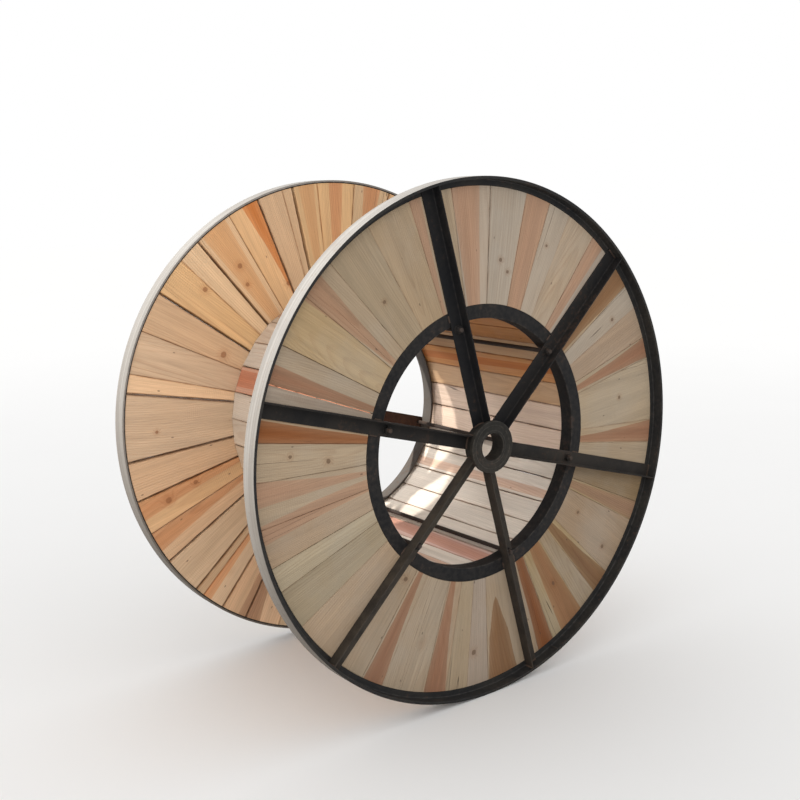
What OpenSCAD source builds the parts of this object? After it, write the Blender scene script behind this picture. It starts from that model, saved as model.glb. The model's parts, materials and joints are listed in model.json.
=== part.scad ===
// Steel and wood cable drum, lying with its axle line level, on the rims of its two flanges.
// The axle line runs along Y, the near flange faces -Y, and +Z is up.
// The origin is on the floor, below the middle of the drum.

/* [Flanges] */
// Outside diameter of the flanges
flange_d = 1800; // [1700:10:2000]
// Clear width between the flanges, where the cable is wound
traverse = 855; // [700:5:1100]
// Width of the steel hoop round each flange, along the axle line
hoop_w = 60; // [55:1:75]
// Thickness of that hoop
hoop_t = 10; // [6:1:12]
// How far the planks sit back from the hoop's outer edge
recess = 40; // [35:1:45]
// Width of the hoop's inner lip, over the plank ends
lip_w = 20; // [14:1:28]
// Thickness of the lip
lip_t = 5; // [4:1:8]

/* [Barrel] */
// Outside diameter of the barrel, over the corners of its staves
barrel_d = 960; // [940:10:1000]
// Inside diameter of the steel rings that carry the staves
ring_d = 866; // [866:2:880]
// Length of each ring's leg inside the barrel
ring_leg = 56; // [45:1:65]
// Thickness of the rings
ring_t = 7; // [5:1:8]
// Number of staves for each sixth of the barrel
staves = 5; // [4:1:6]
// Gap between one stave and the next
stave_gap = 5; // [3:0.5:8]

/* [Spokes] */
// Width of the spokes' flat leg (the standing leg is as high as the recess)
angle_w = 50; // [36:1:50]
// Thickness of that section
angle_t = 4; // [3:0.5:6]
// Angle of the first spoke above the level, seen from outside the near flange
first_spoke = 45; // [0:1:59]
// Distance of the tie rods from the axle line
rod_place = 418; // [400:1:418]
// Diameter of the tie rods
rod_d = 16; // [12:1:16]

/* [Hubs] */
// Bore for the axle that the drum turns on
bore_d = 95; // [80:1:110]
// Outside diameter of the hub, where the spokes are welded to it
hub_d = 150; // [140:2:170]
// Outside diameter of the collar in front of the spokes
collar_d = 180; // [172:2:200]
// How far the collar stands out past the hoop
collar_out = 15; // [5:1:20]

/* [Hidden] */
$fn = 96;

sectors = 6;                          // spokes, sectors of planks and groups of staves
step = 360 / sectors;                 // angle from one spoke to the next
rim_r = flange_d / 2;
rim_in = rim_r - hoop_t;
lip_in = rim_in - lip_w;
half_w = traverse / 2 + hoop_w;       // from the middle of the drum to a hoop's outer edge
plank_t = hoop_w - recess;            // planks finish level with the hoop, inside the flange
ring_in = ring_d / 2;
ring_seat = ring_in + ring_t;         // where the staves lie on the ring's leg
ring_out = barrel_d / 2;
play = 1;                             // room round the plank ends
stave_turn = step / staves;           // angle that one stave takes
stave_t = ring_out * cos(stave_turn / 2) - ring_seat;
rod_side = angle_t / 2;               // the rods pass through the middle of the clear flat leg
rod_hole = rod_d + 2;
nut_af = rod_d * 1.5;                 // nut, across the flats
nut_h = rod_d * 0.8;
washer_d = rod_d * 1.85;
washer_t = 3;
rod_past = 8;                         // thread that shows past the nut
nut_foot = recess - angle_t;          // depth of the face that the washers bear on
hub_h = recess + 5;                   // the hub reaches just past the planks' outer face
edge = 2;                             // chamfer on the hub's edges

// Joints between the planks of each sector, counted from its first spoke: [angle, gap].
near_joints = [
    [[7.5, 3], [17, 3], [24, 3], [31.5, 3], [42.5, 6], [53.5, 3]],
    [[5, 3], [16.5, 3], [28, 3], [36.5, 4], [47, 3], [55, 6]],
    [[6.5, 3], [14.5, 4], [24, 3], [32.5, 3], [38, 3], [47.5, 3]],
    [[8.5, 3], [14.5, 3], [27, 3], [33.5, 3], [40, 3], [46.5, 3]],
    [[8.5, 3], [19.5, 3], [25.5, 3], [31.5, 3], [46.5, 3], [51.5, 4]],
    [[7.5, 3], [13.5, 4], [30, 3], [35.5, 3], [44, 3], [50.5, 3]]
];
far_joints = [
    [[9, 3], [18, 3], [28, 4], [39, 3], [50, 3], [57, 7]],
    [[7, 4], [15.5, 3], [25.5, 5], [31.5, 3], [40.5, 5], [50, 3]],
    [[4.5, 6], [20.5, 6], [30, 4], [38.5, 3], [47, 5], [57.5, 4]],
    [[6.5, 4], [14, 5], [24, 3], [33, 4], [43, 3], [52, 3]],
    [[10, 3], [19, 3], [28, 4], [37, 3], [46, 5], [53, 3]],
    [[8, 3], [17, 4], [27, 3], [35, 3], [45, 3], [52, 3]]
];

// Puts a flange, drawn with its outer edge plane at z = 0 and z pointing outwards, at the near end.
module near_side() {
    translate([0, 0, rim_r])
        rotate([90, 0, 0])
            translate([0, 0, half_w])
                children();
}

// The same at the far end, as a mirror image.
module far_side() {
    mirror([0, 1, 0])
        near_side()
            children();
}

// Turns what follows to spoke k, with x pointing out from the axle line.
module at_spoke(k) {
    rotate([0, 0, first_spoke + (k - 1) * step])
        children();
}

// Rolled steel hoop: a flat bar on edge with a lip that holds the plank ends.
module hoop() {
    color("dimgray")
        rotate_extrude($fn = 180)
            polygon([
                [rim_in, -hoop_w], [rim_r, -hoop_w], [rim_r, 0], [rim_in, 0],
                [rim_in, -recess], [lip_in, -recess],
                [lip_in, -recess - lip_t], [rim_in, -recess - lip_t]
            ]);
}

// Rolled angle: one leg covers the planks' inner ends, the other carries the staves.
module ring() {
    color("dimgray")
        rotate_extrude($fn = 180)
            polygon([
                [ring_in, -recess], [ring_in, -recess - ring_leg],
                [ring_seat, -recess - ring_leg], [ring_seat, -recess - ring_t],
                [ring_out, -recess - ring_t], [ring_out, -recess]
            ]);
}

// Hub with its collar and the axle bore.
module hub() {
    color("dimgray")
        difference() {
            union() {
                translate([0, 0, -hub_h])
                    cylinder(d = hub_d, h = hub_h);
                cylinder(d = collar_d, h = collar_out - edge);
                translate([0, 0, collar_out - edge])
                    cylinder(d1 = collar_d, d2 = collar_d - 2 * edge, h = edge);
            }
            translate([0, 0, -hub_h - 1])
                cylinder(d = bore_d, h = hub_h + collar_out + 2);
            translate([0, 0, collar_out - edge])
                cylinder(d1 = bore_d, d2 = bore_d + 2 * edge + 0.2, h = edge + 0.1);
        }
}

// Angle-iron spoke: the flat leg lies on the planks, the other stands out level with the hoop's edge.
module spoke(k) {
    color("dimgray")
        at_spoke(k)
            difference() {
                intersection() {
                    union() {
                        translate([0, -angle_w / 2, -recess])
                            cube([rim_r, angle_w, angle_t]);
                        translate([0, -angle_w / 2, -recess])
                            cube([rim_r, angle_t, recess]);
                    }
                    translate([0, 0, -recess - 1])
                        cylinder(r = rim_in, h = recess + 2, $fn = 180);
                }
                translate([0, 0, -recess - 1])
                    cylinder(d = hub_d, h = recess + 2);
                translate([rod_place, rod_side, -recess - 1])
                    cylinder(d = rod_hole, h = angle_t + 2);
            }
}

// One cut between two planks, along a radius.
module plank_cut(a, gap) {
    rotate([0, 0, a])
        translate([ring_in, -gap / 2, -hoop_w - 1])
            cube([rim_r - ring_in, gap, plank_t + 2]);
}

// The tapered planks of one sector, rebated under the hoop's lip and under the ring.
module planks(k, joints) {
    color("tan")
        at_spoke(k)
            difference() {
                rotate_extrude(angle = step, $fn = 180)
                    polygon([
                        [ring_seat + play, -hoop_w], [rim_in - play, -hoop_w],
                        [rim_in - play, -recess - lip_t], [lip_in - play, -recess - lip_t],
                        [lip_in - play, -recess], [ring_out + play, -recess],
                        [ring_out + play, -recess - ring_t], [ring_seat + play, -recess - ring_t]
                    ]);
                plank_cut(0, 3);
                plank_cut(step, 3);
                for (j = joints)
                    plank_cut(j[0], j[1]);
            }
}

// One stave: a flat board with edges that point to the axle line.
module stave(a) {
    inner = ring_seat * tan(stave_turn / 2) - stave_gap / 2;
    outer = (ring_seat + stave_t) * tan(stave_turn / 2) - stave_gap / 2;
    rotate([0, 0, a])
        translate([0, 0, -traverse / 2])
            linear_extrude(traverse)
                polygon([
                    [ring_seat, -inner], [ring_seat + stave_t, -outer],
                    [ring_seat + stave_t, outer], [ring_seat, inner]
                ]);
}

// A sixth of the barrel.
module barrel_sixth(k) {
    color("burlywood")
        translate([0, 0, rim_r])
            rotate([90, 0, 0])
                at_spoke(k)
                    for (i = [0 : staves - 1])
                        stave((i + 0.5) * stave_turn);
}

// Rod that pulls the two flanges together, just inside the barrel.
module tie_rod(k) {
    reach = half_w - nut_foot + washer_t + nut_h + rod_past;
    color("gray")
        translate([0, 0, rim_r])
            rotate([90, 0, 0])
                at_spoke(k)
                    translate([rod_place, rod_side, -reach])
                        cylinder(d = rod_d, h = 2 * reach);
}

// Nut and washer on one end of each tie rod.
module nuts() {
    color("gray")
        for (k = [1 : sectors])
            at_spoke(k)
                translate([rod_place, rod_side, -nut_foot])
                    difference() {
                        union() {
                            cylinder(d = washer_d, h = washer_t);
                            translate([0, 0, washer_t])
                                cylinder(d = nut_af / cos(30), h = nut_h, $fn = 6);
                        }
                        translate([0, 0, -1])
                            cylinder(d = rod_d, h = washer_t + nut_h + 2);
                    }
}

near_side() hoop();  // near_hoop
far_side() hoop();  // far_hoop
near_side() ring();  // near_ring
far_side() ring();  // far_ring
near_side() hub();  // near_hub
far_side() hub();  // far_hub
for (k = [1 : sectors]) {
    near_side() spoke(k);
    far_side() spoke(k);
    near_side() planks(k, near_joints[k - 1]);
    far_side() planks(k, far_joints[k - 1]);
    barrel_sixth(k);
    tie_rod(k);
}
near_side() nuts();  // near_nuts
far_side() nuts();  // far_nuts
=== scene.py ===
import json
import math

import bmesh
import bpy
import numpy as np
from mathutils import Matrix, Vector

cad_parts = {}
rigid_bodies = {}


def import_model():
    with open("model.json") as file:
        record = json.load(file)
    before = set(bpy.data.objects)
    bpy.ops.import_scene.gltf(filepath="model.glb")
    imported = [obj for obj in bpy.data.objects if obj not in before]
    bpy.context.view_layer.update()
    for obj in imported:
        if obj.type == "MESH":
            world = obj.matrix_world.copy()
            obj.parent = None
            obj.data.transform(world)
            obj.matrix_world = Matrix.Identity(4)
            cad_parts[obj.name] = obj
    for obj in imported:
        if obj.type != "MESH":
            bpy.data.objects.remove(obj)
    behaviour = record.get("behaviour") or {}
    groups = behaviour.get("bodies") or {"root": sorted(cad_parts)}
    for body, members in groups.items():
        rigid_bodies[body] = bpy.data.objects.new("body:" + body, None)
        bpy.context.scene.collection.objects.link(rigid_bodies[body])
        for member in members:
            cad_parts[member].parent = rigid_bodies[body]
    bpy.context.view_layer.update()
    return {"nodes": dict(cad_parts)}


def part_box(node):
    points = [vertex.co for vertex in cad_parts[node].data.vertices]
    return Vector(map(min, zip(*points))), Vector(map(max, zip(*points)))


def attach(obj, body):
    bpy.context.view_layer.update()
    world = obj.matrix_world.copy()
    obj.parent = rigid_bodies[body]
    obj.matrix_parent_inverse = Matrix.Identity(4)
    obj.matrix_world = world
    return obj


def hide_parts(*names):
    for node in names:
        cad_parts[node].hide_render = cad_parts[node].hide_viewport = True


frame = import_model()

# Sizes that everything below hangs on, taken from the frame's own parts (metres).
hoopLow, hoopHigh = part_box("near_hoop")
ringLow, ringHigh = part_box("near_ring")
plankLow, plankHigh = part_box("near_planks_1")
axleHeight = (hoopLow.z + hoopHigh.z) / 2
rimRadius = (hoopHigh.x - hoopLow.x) / 2
halfWidth = -hoopLow.y                    # middle of the drum to a hoop's outer edge
recess = ringLow.y - hoopLow.y            # outer edge of a hoop to the planks
plankThick = plankHigh.y - plankLow.y
hoopWidth = hoopHigh.y - hoopLow.y
traverse = 2 * (halfWidth - hoopWidth)    # clear width between the flanges
ringOuter = (ringHigh.x - ringLow.x) / 2
ringLeg = ringHigh.y - ringLow.y
rodLow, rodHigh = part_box("tie_rod_1")
rodMiddle = Vector(((rodLow.x + rodHigh.x) / 2, 0, (rodLow.z + rodHigh.z) / 2 - axleHeight))
rodRadius = (rodHigh.x - rodLow.x) / 2
rodPlace = rodMiddle.length
rodAside = 0.002                          # a rod stands this far to one side of its spoke's middle
sixth = math.radians(60)
firstRod = math.atan2(rodMiddle.z, rodMiddle.x)
firstSpoke = firstRod - rodAside / rodPlace
print("frame read: flange radius", round(rimRadius, 3), "half width", round(halfWidth, 4))


def spread(seed):
    return np.random.default_rng(seed)


def around(angle, radius, y):
    return np.stack([radius * np.cos(angle), y + 0 * angle, axleHeight + radius * np.sin(angle)], -1)


def easeStep(low, high, x):
    t = np.clip((x - low) / (high - low), 0, 1)
    return t * t * (3 - 2 * t)


def wander(rng, x, length, size):
    # a smooth random line: a few slow waves with random starts
    total = np.zeros_like(x, float)
    for i in range(4):
        wave = length / (1 + 0.9 * i)
        total += np.sin(2 * math.pi * x / wave + rng.uniform(0, 6.3)) / (1 + i)
    return size * total / 2


def wrapped(rows, columns, closed=False):
    # the faces over rows of points, each row a ring: closed joins the last row to the first
    faces = []
    for r in range(rows if closed else rows - 1):
        a, b = r * columns, (r + 1) % rows * columns
        for c in range(columns):
            d = (c + 1) % columns
            faces.append((a + c, a + d, b + d, b + c))
    return faces


def capped(rows, columns):
    # the same, with an end on the first row and the last
    last = (rows - 1) * columns
    ends = [tuple(range(columns))[::-1], tuple(range(last, last + columns))]
    return wrapped(rows, columns) + ends


class Skin:
    # gathers points, faces and per-point values, and makes one mesh of them
    def __init__(self):
        self.points, self.faces, self.values, self.count = [], [], {}, 0

    def add(self, points, faces, flip=False, **values):
        points = np.asarray(points, float).reshape(-1, 3)
        faces = [tuple(int(i) + self.count for i in (f[::-1] if flip else f)) for f in faces]
        self.points.append(points)
        self.faces += faces
        for name, value in values.items():      # one value for all the points, or one for each
            value = np.asarray(value, float)
            single = value.ndim == 1 and value.shape[0] in (3, 4) and len(points) != value.shape[0]
            if value.ndim == 0 or single:
                value = np.broadcast_to(value, (len(points),) + value.shape).copy()
            self.values.setdefault(name, []).append((self.count, value))
        self.count += len(points)

    def make(self, name, node, material, smooth=32):
        mesh = bpy.data.meshes.new(name)
        mesh.from_pydata(np.concatenate(self.points).tolist(), [], self.faces)
        for key, parts in self.values.items():
            width = 1 if parts[0][1].ndim == 1 else parts[0][1].shape[1]
            data = np.zeros((self.count, width))
            for start, value in parts:
                data[start:start + len(value)] = value.reshape(len(value), -1)
            kind, field = ("FLOAT", "value") if width == 1 else ("FLOAT_VECTOR", "vector")
            attribute = mesh.attributes.new(key, kind, "POINT")
            attribute.data.foreach_set(field, data.astype(np.float32).ravel())
        mesh.update()
        mesh.shade_smooth()
        mesh.set_sharp_from_angle(angle=math.radians(smooth))
        piece = bpy.data.objects.new(name, mesh)
        bpy.context.scene.collection.objects.link(piece)
        piece.data.materials.append(material)
        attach(piece, "root")
        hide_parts(node)


class Nodes:
    # short words for building a material's node tree
    def __init__(self, name):
        self.material = bpy.data.materials.new(name)
        self.material.use_nodes = True
        self.tree = self.material.node_tree
        self.tree.nodes.clear()
        self.out = self.tree.nodes.new("ShaderNodeOutputMaterial")
        self.surface = self.tree.nodes.new("ShaderNodeBsdfPrincipled")
        self.tree.links.new(self.surface.outputs[0], self.out.inputs[0])

    def put(self, kind, **settings):
        made = self.tree.nodes.new("ShaderNode" + kind)
        for key, value in settings.items():
            setattr(made, key, value)
        return made

    def feed(self, socket, value):
        if isinstance(value, bpy.types.NodeSocket):
            self.tree.links.new(value, socket)
        elif value is not None:
            socket.default_value = value

    def fill(self, made, **values):
        for name, value in values.items():
            self.feed(made.inputs[name], value)
        return made

    def math(self, how, a, b=None):
        made = self.put("Math", operation=how)
        self.feed(made.inputs[0], a)
        self.feed(made.inputs[1], b)
        return made.outputs[0]

    # part: a share of a value, which can be more than all of it
    def part(self, value, share):
        return self.math("MULTIPLY", value, share)

    def total(self, *values):
        made = values[0]
        for value in values[1:]:
            made = self.math("ADD", made, value)
        return made

    def vector(self, how, a, b=None, scale=None):
        made = self.put("VectorMath", operation=how)
        self.feed(made.inputs[0], a)
        self.feed(made.inputs[1], b)
        if scale is not None:
            self.feed(made.inputs["Scale"], scale)
        return made.outputs[1] if how in ("LENGTH", "DISTANCE", "DOT_PRODUCT") else made.outputs[0]

    def value(self, name):
        return self.put("Attribute", attribute_name=name).outputs["Fac"]

    def triple(self, name):
        return self.put("Attribute", attribute_name=name).outputs["Vector"]

    def place(self):
        return self.put("TexCoord").outputs["Object"]

    def cloud(self, where, scale, detail=3, rough=0.5, twist=0.0):
        made = self.fill(self.put("TexNoise"), Vector=where, Scale=scale, Detail=detail,
                         Roughness=rough, Distortion=twist)
        return made.outputs["Fac"]

    def cells(self, where, scale):
        return self.fill(self.put("TexVoronoi"), Vector=where, Scale=scale)

    def step(self, value, low, high, start=0.0, end=1.0, soft=True):
        made = self.put("MapRange", interpolation_type="SMOOTHSTEP" if soft else "LINEAR", clamp=True)
        for i, v in enumerate((value, low, high, start, end)):
            self.feed(made.inputs[i], v)
        return made.outputs[0]

    def around(self, value, size):
        # a 0..1 pattern as a push to either side
        return self.part(self.math("SUBTRACT", value, 0.5), size)

    def times(self, value, factor):
        return self.vector("MULTIPLY", value, factor)

    def blend(self, amount, a, b):
        made = self.put("Mix", data_type="RGBA")
        self.feed(made.inputs[0], amount)
        for socket, value in ((made.inputs[6], a), (made.inputs[7], b)):
            if isinstance(value, (tuple, list)) and len(value) == 3:
                value = (*value, 1)
            self.feed(socket, value)
        return made.outputs[2]

    def relief(self, height, depth):
        return self.fill(self.put("Bump"), Strength=1, Distance=depth, Height=height).outputs[0]

    def finish(self, colour, rough, normal=None, shine=0.5):
        self.fill(self.surface, Roughness=rough, Normal=normal)
        self.feed(self.surface.inputs["Base Color"], colour)
        self.feed(self.surface.inputs["Specular IOR Level"], shine)
        return self.material


wood = {
    "near": {   # outer planks of the flange in front: weathered, greyish, partly as painted shade
        "ringSpace": 0.0062, "contrast": 0.30, "grey": 0.22, "rough": 0.86, "knots": 2.2, "depth": 0.0011,
        "knotColour": (0.115, 0.066, 0.038), "grime": 0.26,
    },
    "far": {    # planks of the other flange: fresher and warmer, partly as painted warm light
        "ringSpace": 0.0070, "contrast": 0.33, "grey": 0.06, "rough": 0.80, "knots": 2.6, "depth": 0.0012,
        "knotColour": (0.270, 0.110, 0.045), "grime": 0.80,
    },
    "barrel": {
        "ringSpace": 0.0066, "contrast": 0.34, "grey": 0.16, "rough": 0.84, "knots": 2.4, "depth": 0.0011,
        "knotColour": (0.160, 0.080, 0.045), "grime": 0.60,
    },
}


def woodMaterial(name, look, bigKnots=()):
    n = Nodes(name)
    grain, place = n.triple("grain"), n.place()
    long = n.times(grain, (1, 0.045, 1))       # drawn out along the board
    longer = n.times(grain, (1, 0.014, 1))
    broad = n.cloud(long, 34, 4, 0.55, 0.4)
    fine = n.cloud(longer, 420, 3, 0.6)
    fibre = n.cloud(longer, 1500, 2, 0.5)
    drift = n.cloud(n.times(grain, (1, 0.10, 1)), 9, 2, 0.5)

    # knots: small ones by chance, larger ones where they were put
    spots = n.cells(n.times(grain, (1.0, 0.62, 0.25)), look["knots"] * 2.6)
    chance = n.fill(n.put("SeparateColor"), Color=spots.outputs["Color"])
    knotSize = n.step(chance.outputs[0], 0.55, 1.0, 0.0, 0.052, soft=False)
    away = n.math("DIVIDE", spots.outputs["Distance"], n.total(knotSize, 0.0005))
    for x, z, size in bigKnots:
        flat = n.times(place, (1, 0, 1))
        away = n.math("MINIMUM", away, n.math("DIVIDE", n.vector("DISTANCE", flat, (x, 0, z)), size))
    away = n.total(away, n.around(n.cloud(grain, 90, 2), 0.5))
    knot = n.step(away, 0.75, 1.15, 1, 0)
    halo = n.step(away, 0.9, 3.4, 1, 0)

    # growth rings, cut by the board's face
    rings = n.total(n.value("ring"), n.around(drift, 0.012), n.around(broad, 0.003), n.part(halo, 0.009))
    turn = n.math("FRACT", n.math("DIVIDE", rings, look["ringSpace"]))
    late = n.part(n.step(turn, 0.42, 0.86), n.step(turn, 0.90, 1.0, 1, 0))
    late = n.part(late, n.step(n.cloud(long, 17, 3, 0.6), 0.32, 0.66, 0.15, 1.0))

    # heartwood: a wedge or band with a crisp, slightly ragged edge
    ragged = n.total(n.value("heart"), n.around(fine, 0.006), n.around(broad, 0.010))
    heart = n.step(ragged, -0.0016, 0.0016)
    inside = n.step(n.value("heart"), 0.0, 0.03, 0.80, 1.0)
    colour = n.blend(n.part(heart, inside), n.triple("pale"), n.triple("warm"))

    # streaks, late wood, fibres
    light = n.step(broad, 0.28, 0.72, 1 - 0.30 * look["contrast"], 1 + 0.25 * look["contrast"])
    light = n.part(light, n.step(fine, 0.25, 0.75, 0.90, 1.08))
    light = n.part(light, n.step(fibre, 0.2, 0.8, 0.93, 1.06))
    shade = n.vector("SCALE", colour, scale=light)
    darker = n.times(shade, (0.60, 0.46, 0.38))
    shade = n.blend(n.part(late, look["contrast"] * 0.9), shade, darker)
    bright = n.part(n.step(n.cloud(longer, 170, 2, 0.5), 0.63, 0.74), 0.30)
    shade = n.blend(bright, shade, n.times(shade, (1.22, 1.24, 1.28)))

    # weather: a grey film in patches, stains that run with the grain
    film = n.part(n.step(n.cloud(place, 3.1, 4, 0.6), 0.35, 0.7), look["grey"])
    film = n.part(film, n.step(heart, 0, 1, 1.0, 0.12, soft=False))
    shade = n.blend(film, shade, (0.36, 0.345, 0.31))
    stain = n.part(n.step(n.cloud(long, 12, 4, 0.65, 0.6), 0.58, 0.80), 0.30)
    shade = n.blend(stain, shade, n.times(shade, (0.66, 0.58, 0.52)))

    # knots and dark specks
    swirl = n.math("FRACT", n.part(away, 3.1))
    shade = n.blend(n.part(halo, 0.30), shade, n.times(shade, (0.72, 0.54, 0.42)))
    darker = tuple(0.6 * c for c in look["knotColour"])
    knotColour = n.blend(n.step(swirl, 0.2, 0.9), look["knotColour"], darker)
    shade = n.blend(n.part(knot, 0.68), shade, knotColour)
    specks = n.cells(n.times(grain, (1, 0.45, 1)), 21)
    speck = n.part(n.step(specks.outputs["Distance"], 0.035, 0.065, 1, 0), 0.62)
    shade = n.blend(speck, shade, (0.06, 0.04, 0.028))

    # cracks that follow the grain, deeper near the ends
    seam = n.math("ABSOLUTE", n.math("SUBTRACT", n.cloud(n.times(grain, (1, 0.018, 1)), 26, 1, 0.4), 0.5))
    stretch = n.step(n.cloud(n.times(grain, (1, 0.2, 1)), 7, 2), 0.60, 0.66)
    crack = n.part(n.step(seam, 0.0016, 0.0042, 1, 0), stretch)
    shade = n.blend(n.part(crack, 0.75), shade, (0.035, 0.022, 0.015))

    # grime along the edges
    edge = n.step(n.value("edge"), 0.0, 0.006, 1, 0)
    patches = n.step(n.cloud(place, 13, 4), 0.3, 0.7, 0.35 * look["grime"], look["grime"])
    shade = n.blend(n.part(edge, patches), shade, n.times(shade, (0.54, 0.38, 0.26)))

    # saw marks: fine ridges across the board, in some stretches only
    saw = n.fill(n.put("TexWave", bands_direction="Y"), Vector=n.times(grain, (1.35, 1, 1.35)),
                 Scale=42, Distortion=2.2, Detail=1.5)
    patchy = n.step(n.cloud(n.times(grain, (1, 0.6, 1)), 6, 2), 0.45, 0.7)
    sawn = n.part(saw.outputs["Fac"], patchy)

    height = n.total(n.part(late, -0.30), n.part(fine, 0.55), n.part(fibre, 0.22),
                     n.part(sawn, 0.30), n.part(crack, -1.6), n.part(knot, 0.35))
    rough = n.step(fine, 0.2, 0.8, look["rough"] - 0.06, look["rough"] + 0.08)
    return n.finish(shade, rough, n.relief(height, look["depth"]), shine=0.28)


def sawnBoard(rng, along, edges, outer, inner, columns=10, arris=(0.0008, 0.0008), cup=0.0006):
    # One closed board. along: stations down its length; edges: its long edges there, as (left, right)
    # of the outer face and (left, right) of the inner face; outer and inner: its two faces there.
    # Returns points (across, along, thick), faces and the distances from the two edges.
    rows = len(along)
    ease = []
    for size in arris:
        chips = 0.0022 * easeStep(0.62, 1.0, wander(rng, along, 0.37, 1))
        ease.append(np.clip(size * (1 + 0.6 * wander(rng, along, 0.19, 1)) + chips, 0.0003, 0.004))
    share = np.linspace(0, 1, columns)
    x = np.empty((rows, 2 * (columns + 2)))
    z = np.empty_like(x)
    for face, sign, level in ((0, 1, outer), (1, -1, inner)):
        inset = ease[face]
        left, right = edges[face]
        width = right - left
        across = np.concatenate([
            left[:, None],
            (left + inset)[:, None] + share[None, :] * (width - 2 * inset)[:, None],
            right[:, None]], 1)
        drop = np.zeros_like(across)
        drop[:, 0] = drop[:, -1] = inset * 0.8
        middle = 2 * (across - left[:, None]) / width[:, None] - 1
        bow = cup * sign * (middle ** 2 - 1) * 0.5
        height = level[:, None] - sign * drop + bow
        if face == 1:
            across, height = across[:, ::-1], height[:, ::-1]
        at = slice(face * (columns + 2), (face + 1) * (columns + 2))
        x[:, at], z[:, at] = across, height
    loop = x.shape[1]
    y = np.broadcast_to(along[:, None], x.shape)
    points = np.stack([x, y, z], -1).reshape(-1, 3)
    faces = wrapped(rows, loop)
    half = columns + 2
    for r, turn in ((0, False), (rows - 1, True)):
        a = r * loop
        for c in range(half - 1):
            quad = (a + c, a + loop - 1 - c, a + loop - 2 - c, a + c + 1)
            faces.append(quad[::-1] if turn else quad)
    return points, faces, ((x - x.min(1)[:, None]).reshape(-1), (x.max(1)[:, None] - x).reshape(-1))


def growth(rng, points, width=0.09):
    # distance from the tree's middle, which gives the rings: arches on some boards, lines on others
    off = rng.uniform(-1.6, 1.6) * width
    deep = rng.uniform(0.02, 0.09)
    lean = rng.uniform(-0.06, 0.06)
    close = rng.uniform(0.65, 1.5)          # slow or fast grown
    x, y, z = points.T
    middle = off + 0.012 * np.sin(y * rng.uniform(4, 9) + rng.uniform(0, 6))
    return close * np.hypot(x - middle, deep + lean * y + z)


def boardsOf(node):
    # the boards of a CAD node: where each one's long edges run, as a joint's angle and its half gap
    mesh = bmesh.new()
    mesh.from_mesh(frame["nodes"][node].data)
    bmesh.ops.remove_doubles(mesh, verts=mesh.verts, dist=1e-5)
    left = set(mesh.verts)
    found = []
    while left:
        reach, island = [left.pop()], []
        while reach:
            v = reach.pop()
            island.append(v)
            for e in v.link_edges:
                w = e.other_vert(v)
                if w in left:
                    left.remove(w)
                    reach.append(w)
        x, y, z = np.array([v.co for v in island]).T
        radius, angle = np.hypot(x, z - axleHeight), np.arctan2(z - axleHeight, x)
        centre = math.atan2(np.sin(angle).mean(), np.cos(angle).mean())
        angle = centre + (angle - centre + math.pi) % (2 * math.pi) - math.pi
        near, far = radius < radius.min() + 0.003, radius > radius.max() - 0.003
        rNear, rFar = radius.min(), radius.max()
        sides = []
        for pick in (np.min, np.max):
            a, b = pick(angle[near]), pick(angle[far])
            half = (a - b) / (1 / rNear - 1 / rFar)
            sides.append((b - half / rFar, half))
        found.append({"low": sides[0], "high": sides[1], "inner": rNear, "outer": rFar})
    mesh.free()
    return sorted(found, key=lambda board: (board["low"][0] - firstRod + 0.3) % (2 * math.pi))


# Colours of sawn softwood, as the share of light it gives back. The tones from pale to clay, for the flange
# in front, are darker and greyer as painted shade; those from fresh to rust, for the other flange, are
# lighter and warmer as painted warm light.
timber = {
    "pale": (0.335, 0.252, 0.168), "grey": (0.345, 0.275, 0.210), "dust": (0.300, 0.232, 0.150),
    "tan": (0.335, 0.242, 0.152), "straw": (0.360, 0.258, 0.136), "olive": (0.350, 0.285, 0.195),
    "rosy": (0.340, 0.252, 0.168), "brown": (0.245, 0.162, 0.082),
    "red": (0.258, 0.130, 0.074), "deep": (0.208, 0.070, 0.020), "salmon": (0.335, 0.202, 0.128),
    "orange": (0.286, 0.142, 0.064), "umber": (0.204, 0.106, 0.048), "clay": (0.300, 0.178, 0.108),
    "fresh": (0.500, 0.345, 0.210), "golden": (0.540, 0.350, 0.185), "cream": (0.580, 0.405, 0.255),
    "sand": (0.485, 0.355, 0.235), "ochre": (0.480, 0.280, 0.138), "coral": (0.455, 0.228, 0.110),
    "rust": (0.425, 0.152, 0.040),
    "bleached": (0.530, 0.470, 0.405), "blush": (0.490, 0.372, 0.292), "honey": (0.430, 0.270, 0.150),
    "amber": (0.450, 0.200, 0.062), "wine": (0.425, 0.282, 0.235),
}

plank = {
    "rebate": 0.0078,               # their ends are thinner, under the ring and the hoop's lip
    "step": (0.0008, 0.0014),       # where the rebate's step starts and ends, from the steel's edge
}

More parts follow.
